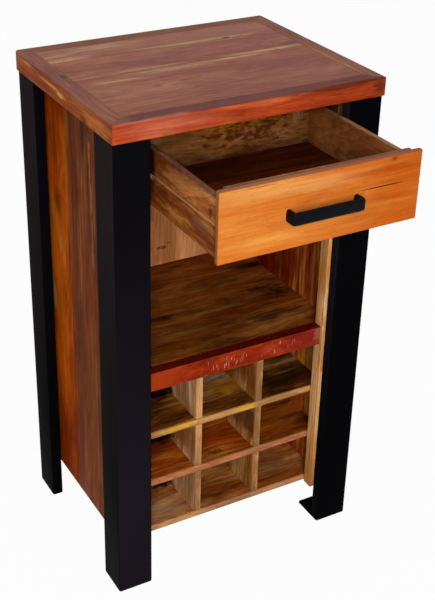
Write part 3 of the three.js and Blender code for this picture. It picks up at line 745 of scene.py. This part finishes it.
def make_steel():
    coat_painted_lighter = steel_material("black_coat_painted_lighter", ("#1f1a21", "#0c0b0f", "#0f0e10", "#2a2324"), 0.001, 0.3)
    coat_painted_darker = steel_material("black_coat_painted_darker", ("#08080a", "#0a090d", "#0d0c0e", "#282223"), 0.001, 0.3)
    for place in ("front_left", "front_right", "rear_left", "rear_right"):
        # The front left leg gets the coat painted with more light; the others are painted darker, as less
        # light reaches them
        coat = coat_painted_lighter if place == "front_left" else coat_painted_darker
        softened(f"leg_{place}", coat, EASED_EDGE)
        softened(f"foot_plate_{place}", coat, EASED_PLATE_EDGE)
    bright = steel_material("black_handle_coat", ("#070910",) * 4, 0.06, 0.14)
    add_piece("handle_finished", handle_mesh(), bright, "handle")
    zinc = screw_material()
    for name, node in nodes.items():
        if "_screw_" in name:
            node.data.materials.clear()
            node.data.materials.append(zinc)


def make_sides():
    outer, inner = (spots_on(X, plane, 9, detail=(9, 5, 40)) for plane in (SIDE_OUTER_MM, WALL_MM))
    back = spots_on(Y, BACK_FRONT_MM, 20)
    plank_spots = {
        "left_front": [
            outer((53, 795), (5, 55), "#cc9058", 0.85, soft=0.6, ragged=1.1, detail=(9, 4, 16)),
            outer((50, 715), (5, 45), "#b88460", soft=0.6, ragged=1.2, detail=(9, 4, 14)),
            outer((47, 640), (6, 60), "#ac7450", 0.75, soft=0.7, ragged=1.7, detail=(9, 4, 14)),
            outer((60, 700), (10, 150), "#4c2416", 0.5, ragged=1.2, detail=(9, 4, 20)),
            outer((78, 828), (13, 60), "#341c12", ragged=0.7),
            outer((141, 815), (6, 55), "#b47c40", ragged=0.6),
            outer((108, 720), (12, 90), "#5c2c10", 0.5, ragged=0.7),
            outer((140, 620), (14, 260), "#a45a30", 0.75, soft=1.0, ragged=0.6),
            outer((60, 330), (60, 220), "#944e26", 0.6, ragged=0.7),
            outer((48, 300), (5, 200), "#ac7450", 0.6, ragged=0.8),
        ],
        "left_rear": [
            outer((190, 580), (70, 170), "#d86814", 0.55),
            outer((190, 130), (80, 180), "#6c2002", 0.75, ragged=0.6),
            *(outer(place, (12, 38), "#d88a30", 0.5, soft=1.0, detail=(9, 10, 30))
              for place in ((216, 640), (202, 612), (188, 582))),
            outer((174, 554), (12, 38), "#d4842e", 0.45, soft=1.0, detail=(9, 10, 30)),
            outer((192, 662), (26, 34), "#7c2a00", 0.65, detail=(9, 16, 24)),
            outer((150, 580), (6, 80), "#501c08", 0.7, ragged=0.7),
            outer((228, 455), (10, 46), "#948868", detail=(9, 8, 20)),
            outer((165, 120), (22, 60), "#a84c14", 0.6),
        ],
        "right_front": [
            inner((45, 520), (7, 150), "#c07430", 0.75, soft=0.7, ragged=0.7),
            inner((16, 480), (6, 180), "#ac6a34", 0.75, soft=0.7, ragged=0.7),
            inner((0, 340), (40, 60), "#a8703c", 0.7),
            inner((60, 200), (60, 80), "#8c3a10", 0.7),
        ],
        "right_rear": [
            inner((170, 500), (60, 200), "#4c0804", 0.75),
        ],
    }
    woods = {
        "left_front": "brown_side", "left_rear": "orange_side",
        "right_front": "inner_front", "right_rear": "inner_rear",
    }
    for side, seed in (("left", 20), ("right", 30)):
        finished_joinery(f"stile_front_{side}", "stile", Z, seed + 1, wear=0.7, spots=[
            # A painted shadow: the top of the right stile, under the tabletop's overhang, is darkened
            spot((172, -44, 880), (60, 60, 130), "#34180a", 0.95, soft=0.2, ragged=0.1),
            spot((172, -60, 74), (12, 8, 5), "#a8301c", detail=(6, 6, 6)),
        ])
        finished_board(f"stile_rear_{side}", "stile", Z, seed + 2)
        for place, step in (("front", 3), ("rear", 4)):
            name = f"{side}_{place}"
            finished_joinery(f"side_plank_{name}", woods[name], Z, seed + step, spots=plank_spots[name])
    for place, seed in (("left", 41), ("middle", 42), ("right", 43)):
        finished_board(f"back_board_{place}", "back", Z, seed, spots=[
            back((26, 450), (24, 16), "#b87444", 0.6, detail=(10, 9, 14)),
            back((27, 468), (12, 5), "#6c3818", 0.9, soft=0.5, ragged=0.7, detail=(7, 7, 5)),
            back((27, 468), (6, 2.4), "#b87848", 0.9, soft=0.6, ragged=0.4, detail=(5, 7, 4)),
            back((44, 476), (10, 2), "#7c4420", detail=(7, 7, 4)),
        ])
    for side, seed in (("left", 45), ("right", 46)):
        finished_board(f"top_cleat_{side}", "plain", Y, seed)
        finished_board(f"drawer_runner_{side}", "plain", Y, seed + 4)
    finished_joinery("top_rail_front", "plain", X, 47)
    finished_board("top_rail_rear", "plain", X, 48)


def make_shelf_and_rack():
    shelf = spots_on(Z, SHELF_TOP_MM, 9)
    bottom, lower, upper = (spots_on(Z, top, 4, ragged=0.9, detail=(30, 16, 9)) for top in RACK_TOPS_MM)
    left, right = (spots_on(X, plane, 20) for plane in DIVIDER_LEFT_FACES_MM)
    edge = RACK_FRONT_MM
    front = spots_on(Y, edge, 2.4)
    finished_board("shelf_board", "shelf", X, 51, spots=[
        shelf((172, 88), (36, 40), "#240e06", 0.85, soft=1.0, ragged=1.2, detail=(12, 8, 9)),
        shelf((140, 112), (40, 12), "#2c1206", soft=0.9, ragged=1.2, detail=(14, 6, 9)),
        shelf((185, 200), (60, 16), "#2a0e06", 0.85, detail=(40, 8, 9)),
        shelf((110, 14), (95, 24), "#34140a", ragged=0.9, detail=(40, 9, 9)),
        shelf((-66, 94), (36, 14), "#241004", 0.85, detail=(16, 8, 9)),
        shelf((40, 30), (60, 12), "#34180a", 0.6, ragged=0.9, detail=(40, 9, 9)),
        shelf((30, 78), (90, 9), "#a87c40", 0.5, detail=(50, 5, 9), ragged=0.7),
        shelf((-60, 30), (120, 12), "#9c6c38", 0.5, detail=(60, 5, 9), ragged=0.7),
    ])
    mesh = board_mesh("shelf_rail_finished", RAIL_LOW, RAIL_HIGH, X, RAIL_RADIUS, RAIL_RUB, 52)
    add_piece("shelf_rail_finished", mesh, red_paint_material(), "shelf_rail")
    raw = front((0, 0), (WIDE, WIDE), "#d09860", 0.85, soft=0.3, ragged=0.3, detail=(30, 9, 30))
    pink = front((0, 182), (WIDE, 9), "#ba6e4a", soft=0.3, ragged=0.8, detail=(30, 9, 9))
    dull = dict(soft=0.6, ragged=0.7, detail=(30, 9, 30))
    yellow = dict(colour="#f4b438", strength=0.9, soft=0.6, ragged=0.7, detail=(16, 9, 8))
    # Painted shade deep in the rack's cells: a near black patch in each back left corner, and darkening
    # towards the back of each cell's floor
    painted_nook_shade = dict(colour="#100604", strength=0.95, soft=0.5, ragged=0.5, detail=(14, 14, 14))
    corners = [
        spot((-86, 74, 0), (34, 34, WIDE), **painted_nook_shade),
        *(spot((x, 140, 0), (60, 80, WIDE), "#1c0c06", 0.85, soft=1.0) for x in (-140, 50, 200)),
    ]
    finished_board("rack_bottom", "rack_low", X, 53, spots=[
        bottom((-110, -10), (90, 50), "#d8a470", 0.7, ragged=0.8, detail=(40, 14, 9)),
        bottom((120, 20), (60, 50), "#9c6034", 0.6, ragged=0.5, detail=(20, 20, 9)),
        raw, *corners,
        front((40, 80), (170, 14), "#b47c56", 0.75, **dull),
    ])
    finished_joinery("rack_row_lower", "rack_orange", X, 54, spots=[
        lower((-17, -18), (24, 8), "#3c1406", 0.75, ragged=1.5, detail=(7, 3, 9)),
        lower((-130, 90), (60, 70), "#28140a", 0.7),
        lower((130, 0), (70, 30), "#c46a1c", 0.7, detail=(30, 12, 9)),
        lower((120, 130), (60, 60), "#3c2010", 0.7),
        lower((0, 110), (45, 60), "#5c4024", 0.6),
        raw, pink, *corners,
    ])
    finished_joinery("rack_row_upper", "rack_dark", X, 55, spots=[
        upper((-130, 60), (60, 70), "#2c1c12", 0.7),
        upper((140, 0), (90, 60), "#2c1406", 0.8, detail=(30, 14, 9)),
        upper((36, 26), (40, 22), "#c47818", 0.85, ragged=0.8, detail=(20, 9, 9)),
        upper((24, 80), (70, 34), "#94806c", 0.85, ragged=0.7, detail=(24, 14, 9)),
        upper((185, 52), (50, 7), "#c49c64", 0.8, detail=(30, 5, 9)),
        upper((150, 22), (40, 5), "#a87c40", 0.7, detail=(30, 5, 9)),
        raw, *corners,
        spot((-108, edge, 287), (48, 10, 7), **yellow),
        spot((36, edge, 287), (26, 10, 7), **yellow),
        spot((0, edge, 287), (WIDE, 10, 7), **{**yellow, "strength": 0.15}),
    ])
    for place, seed in (("left", 56), ("right", 57)):
        finished_joinery(f"rack_divider_{place}", f"divider_{place}", Z, seed, spots=[
            # Painted shade on the dividers: darker towards the back, and near black in each cell's back
            # corners by its floor
            spot((0, 160, 250), (WIDE, 120, WIDE), "#2c1408", 0.85, soft=0.5, ragged=0.3),
            *(left((82, top + 3), (48, 36), **painted_nook_shade) for top in RACK_TOPS_MM),
            left((0, 236), (WIDE, 44), "#84441a", 0.7, soft=0.6, ragged=0.4),
            right((0, 240), (WIDE, 46), "#582808", soft=0.6, ragged=0.4),
            right((0, 345), (WIDE, 44), "#70340c", 0.5, soft=0.6, ragged=0.4),
            *(right((110, top + 2), (70, 34), "#1c0c06", soft=1.0, detail=(9, 20, 14))
              for top in RACK_TOPS_MM),
            raw,
            front((53, 0), (20, WIDE), "#98643e", 0.85, **dull),
            front((-70, 100), (20, 130), "#9c6a48", **dull),
        ])


def make_drawer():
    face = FACE_LOW.y / MM
    front = spots_on(Y, face, 9)
    streak = spots_on(Y, face, 9, soft=1.0, detail=(60, 9, 4))
    back = spots_on(Y, DRAWER_BACK_MM, 30, soft=1.0)
    finished_board("drawer_face", "drawer_face", X, 61, wear=0.2, spots=[
        spot((-110, face, 845), (130, 30, 24), "#eca456", 0.7, soft=1.0, detail=(70, 9, 14)),
        front((0, 838), (120, 16), "#eaa45c", 0.6, soft=1.0, ragged=0.7, detail=(80, 9, 8)),
        front((-90, 768), (90, 16), "#f0a44a", 0.6, soft=1.0, ragged=0.6, detail=(80, 9, 8)),
        spot((150, face, 800), (140, 30, WIDE), "#c4560e", 0.75, soft=1.0, ragged=0.6, detail=(80, 9, 14)),
        streak((60, 858), (150, 9), "#cc5c18", 0.7, ragged=0.6),
        streak((120, 836), (110, 12), "#b84610", 0.75, ragged=0.6),
        streak((130, 818), (80, 6), "#c05014", 0.6),
        streak((125, 792), (85, 7), "#bc4c10", 0.7),
        streak((140, 782), (70, 5), "#dc8028", 0.7),
        streak((80, 768), (120, 7), "#cc5a18", 0.65),
        streak((-60, 788), (120, 8), "#d4641e", 0.5, ragged=0.7),
        front((-60, 826), (90, 1.6), "#b06028", 0.5, ragged=0.4, detail=(60, 9, 4)),
        front((-110, 853), (40, 1.4), "#9a5424", ragged=0.3, detail=(60, 9, 4)),
        front((105, 811.5), (54, 1.3), "#3c1206", 0.95, soft=0.6, ragged=0.25, detail=(60, 9, 3)),
        front((123, 853), (8, 6), "#8f3214", 0.85, detail=(8, 9, 8)),
        front((152, 757), (6, 5), "#a8744c", 0.5, soft=1.0, detail=(8, 9, 8)),
        spot((-175, face + 6.2, 800), (6, 5.6, WIDE), "#8c5c3e", 0.85, soft=0.15, ragged=0.1),
        spot((0, face, FACE_HIGH.z / MM), (WIDE, 30, 2), "#8c5a44", 0.85, soft=0.4, ragged=0.1),
    ])
    finished_joinery("drawer_inner_front", "drawer_side", X, 62, spots=[
        spot((0, face, FACE_HIGH.z / MM), (WIDE, 60, 2), "#80523e", 0.85, soft=0.4, ragged=0.1),
    ])
    for side, sign, seed, top_colour in (("left", -1, 63, "#6c4636"), ("right", 1, 64, "#94664a")):
        x = DRAWER_OUTER_MM * sign
        outside = spots_on(X, x, 7, ragged=0.9)
        inside = spots_on(X, DRAWER_INNER_MM * sign, 3)
        finished_joinery(f"drawer_side_{side}", "drawer_side", Y, seed, spots=[
            outside((-170, 830), (70, 16), "#b06c40", 0.8, detail=(9, 14, 9)),
            outside((-190, 800), (50, 12), "#64301a", 0.6, detail=(9, 14, 6)),
            outside((-220, 780), (40, 12), "#8c6048", 0.6, detail=(9, 12, 6)),
            outside((-150, 765), (60, 12), "#c8843a", 0.6, detail=(9, 20, 6)),
            outside((-100, 830), (30, 10), "#5c2c10", 0.7, ragged=1.0, detail=(9, 9, 6)),
            outside((-110, 790), (50, 30), "#5c2808", 0.6, ragged=1.0, detail=(9, 20, 8)),
            outside((-251, 812), (7, 13), "#301408", 0.8, soft=0.9, detail=(7, 6, 6)),
            # A painted shadow of the front leg on the drawer's outer side, near the cabinet's front
            spot((x, -66, 812), (9, 22, 60), "#140804", 0.95, soft=0.7, ragged=0.2),
            outside((-240, 846), (30, 8), "#8c7468", 0.7, soft=1.0, ragged=0.8, detail=(9, 9, 6)),
            outside((0, RUNNER_MIDDLE_MM), (WIDE, 6), "#caa07c", 0.8, soft=0.3, ragged=0.1),
            inside((-150, 800), (WIDE, WIDE), "#7c4c2c", 0.6, soft=0.3, ragged=0.2),
            inside((-50, 815), (90, 60), "#bc783c", 0.7, soft=1.0, ragged=0.6),
            spot((x, 0, DRAWER_SIDE_TOP_MM), (WIDE, WIDE, 1.8), top_colour, 0.85, soft=0.4, ragged=0.1),
        ])
    finished_board("drawer_back", "drawer_inner", X, 65, spots=[
        back((0, 766), (WIDE, 40), "#34140a", 0.9, ragged=0.6, detail=(26, 9, 9)),
        back((0, 815), (170, 50), "#784820", 0.6, soft=0.6, detail=(30, 9, 20)),
        back((40, 822), (150, 40), "#a05c18", 0.95, soft=0.9, ragged=0.6, detail=(20, 9, 10)),
        back((60, 806), (110, 22), "#a8704c", 0.6, ragged=1.6, detail=(14, 9, 5)),
        back((40, 816), (130, 38), "#501c06", 0.85, ragged=1.7, detail=(16, 9, 8)),
        back((25, 832), (110, 18), "#cc8820", 0.75, soft=1.1, ragged=1.7, detail=(11, 9, 5)),
        back((134, 828), (16, 34), "#b8845c", 0.7, ragged=0.9, detail=(6, 9, 30)),
    ])
    finished_board("drawer_floor", "drawer_floor", X, 66)


def make_camera():
    """The photograph's camera: turned by azimuth, tipped down by elevation, then rolled."""
    view = Vector((math.sin(AZIMUTH) * math.cos(ELEVATION), math.cos(AZIMUTH) * math.cos(ELEVATION),
                   -math.sin(ELEVATION)))
    level = view.cross(Vector((0, 0, 1))).normalized()
    above = level.cross(view)
    right = math.cos(ROLL) * level + math.sin(ROLL) * above
    up = math.cos(ROLL) * above - math.sin(ROLL) * level
    data = bpy.data.cameras.new("camera")
    data.sensor_width = SENSOR_MM
    data.lens = FOCAL_PX * SENSOR_MM / IMAGE_HEIGHT_PX
    data.shift_x = (IMAGE_WIDTH_PX / 2 - CENTRE_X_PX) / IMAGE_HEIGHT_PX
    data.shift_y = (CENTRE_Y_PX - IMAGE_HEIGHT_PX / 2) / IMAGE_HEIGHT_PX
    camera = new_object("camera", data)
    turn = Matrix((right, up, -view)).transposed().to_4x4()
    camera.matrix_world = Matrix.Translation(CAMERA_FROM_TOP_CENTRE + Vector((0, TOP_CENTRE_Y, 0))) @ turn
    bpy.context.scene.camera = camera


def white_where_seen(g):
    """1 for the rays that show the background: those of the camera, of gloss and of glass."""
    path = g.add("ShaderNodeLightPath").outputs
    return g.math("MAXIMUM", g.math("MAXIMUM", path["Is Camera Ray"], path["Is Glossy Ray"]),
                  path["Is Transmission Ray"])


def make_floor():
    """A white floor that keeps a faint shadow of the cabinet."""
    size = 12.0
    mesh = bpy.data.meshes.new("floor")
    corners = [(-size, -size, 0), (size, -size, 0), (size, size, 0), (-size, size, 0)]
    mesh.from_pydata(corners, [], [(0, 1, 2, 3)])
    floor = new_object("floor", mesh)
    material = bpy.data.materials.new("white_floor")
    material.use_nodes = True
    g = Graph(material.node_tree)
    g.nodes.clear()
    matt = g.add("ShaderNodeBsdfDiffuse", {"Color": paint("#b0b0b0")})
    glow = g.add("ShaderNodeEmission", {"Color": paint("#ffffff"), "Strength": 1.0})
    share = g.times(white_where_seen(g), 0.97)
    mixed = g.add("ShaderNodeMixShader", {0: share, 1: matt.outputs[0], 2: glow.outputs[0]})
    g.add("ShaderNodeOutputMaterial", {"Surface": mixed.outputs[0]})
    mesh.materials.append(material)


def make_world():
    """White where it is seen, and a weak cool light from everywhere on the cabinet."""
    world = bpy.data.worlds.new("studio")
    bpy.context.scene.world = world
    world.use_nodes = True
    g = Graph(world.node_tree)
    g.nodes.clear()
    plain = g.add("ShaderNodeBackground", {"Color": paint("#f4f6fa"), "Strength": 0.18})
    white = g.add("ShaderNodeBackground", {"Color": paint("#ffffff"), "Strength": 1.0})
    mixed = g.add("ShaderNodeMixShader", {0: white_where_seen(g), 1: plain.outputs[0], 2: white.outputs[0]})
    g.add("ShaderNodeOutputWorld", {"Surface": mixed.outputs[0]})


def make_lamp(name, place, target, size, power):
    data = bpy.data.lights.new(name, "AREA")
    data.shape = "RECTANGLE"
    data.size, data.size_y = size
    data.energy = power
    lamp = new_object(name, data)
    aim = Vector(target) - Vector(place)
    lamp.rotation_euler = aim.to_track_quat("-Z", "Y").to_euler()
    lamp.location = place


def make_light():
    make_world()
    make_lamp("key", place=(-1.5, -3.1, 2.3), target=(0, 0, 0.6), size=(1.3, 1.1), power=72)
    make_lamp("low_front", place=(-1.6, -3.2, 0.9), target=(0, 0, 0.5), size=(1.2, 0.9), power=40)
    make_lamp("overhead", place=(-0.2, -0.3, 3.6), target=(0, 0.1, 0.9), size=(1.6, 1.2), power=30)


make_camera()
make_floor()
make_light()
make_tabletop()
make_steel()
make_sides()
make_shelf_and_rack()
make_drawer()
bpy.context.scene.view_settings.view_transform = "Standard"
